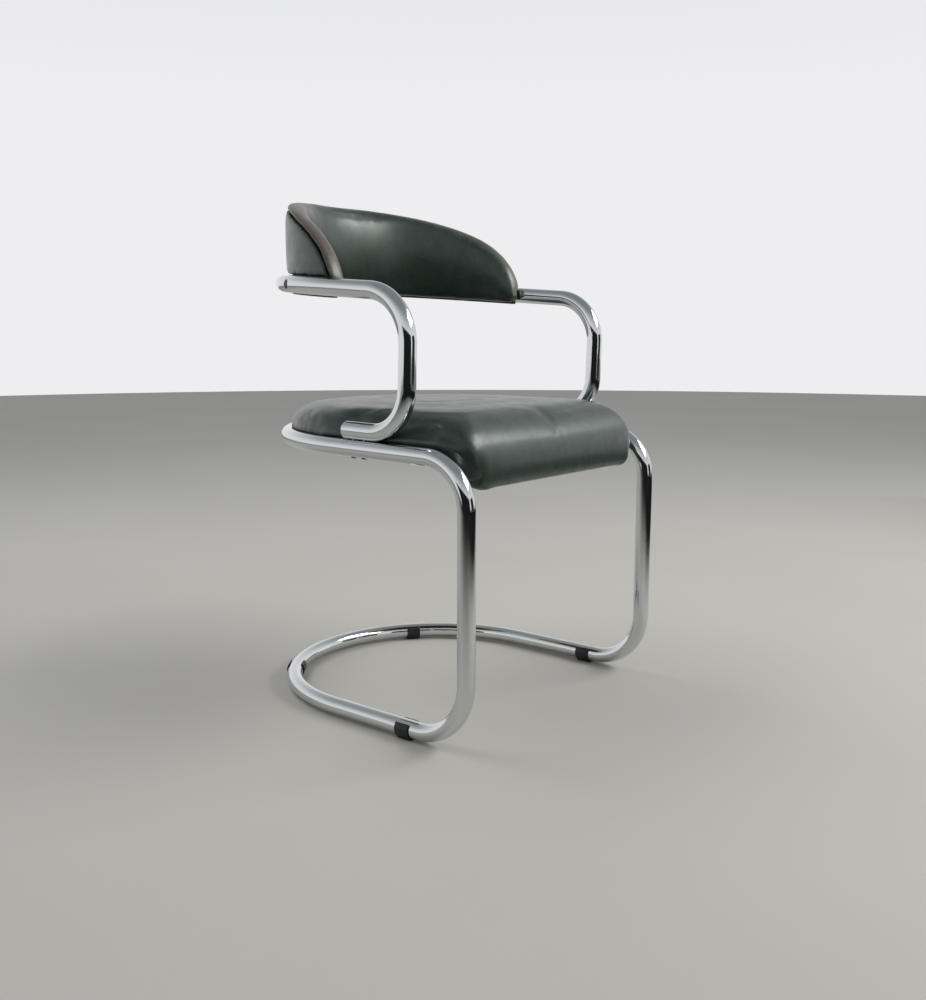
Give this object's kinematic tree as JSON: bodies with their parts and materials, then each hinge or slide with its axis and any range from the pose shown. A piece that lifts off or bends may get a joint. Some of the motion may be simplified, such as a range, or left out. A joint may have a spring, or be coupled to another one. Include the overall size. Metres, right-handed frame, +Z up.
{
  "type": "cantilever chair",
  "caption": "Cantilever tub chair: bent chromed tube frame and arms, upholstered round-backed seat and curved backrest, clip-on floor glides.",
  "frame": {"origin": "on the floor under the middle of the chair's bounding box", "axes": "+Z up, -Y towards the sitter's knees (front), +X to the sitter's left"},
  "size_m": [0.4928, 0.5058, 0.7694],
  "materials": {
    "frame_chrome": "polished",
    "plain_steel": "zinc plated",
    "cap_chrome": "polished",
    "fastener_steel": "zinc plated",
    "plywood": "raw plywood",
    "dust_cloth": "matte",
    "seat_vinyl": "satin vinyl",
    "back_vinyl": "satin vinyl",
    "band_vinyl": "worn satin vinyl",
    "black_plastic": "satin"
  },
  "bodies": {
    "root": {"lower_frame_tube": "frame_chrome", "frame_splice_sleeve": "plain_steel", "arm_back_tube": "frame_chrome", "arm_end_caps": "cap_chrome", "arm_tapped_bars": "plain_steel", "arm_bolts": "fastener_steel", "seat_lugs": "plain_steel", "seat_screws": "fastener_steel", "seat_nuts": "fastener_steel", "seat_board": "plywood", "seat_front_batten": "plywood", "seat_dust_cover": "dust_cloth", "seat_cushion": "seat_vinyl", "back_shell": "plywood", "back_inner_pad": "back_vinyl", "back_outer_pad": "back_vinyl", "back_edge_band": "band_vinyl", "back_screws": "fastener_steel", "back_nuts": "fastener_steel", "back_hole_plugs": "black_plastic", "front_glide_right": "black_plastic", "front_glide_left": "black_plastic", "rear_glide_right": "black_plastic", "rear_glide_left": "black_plastic"}
  },
  "joints": []
}
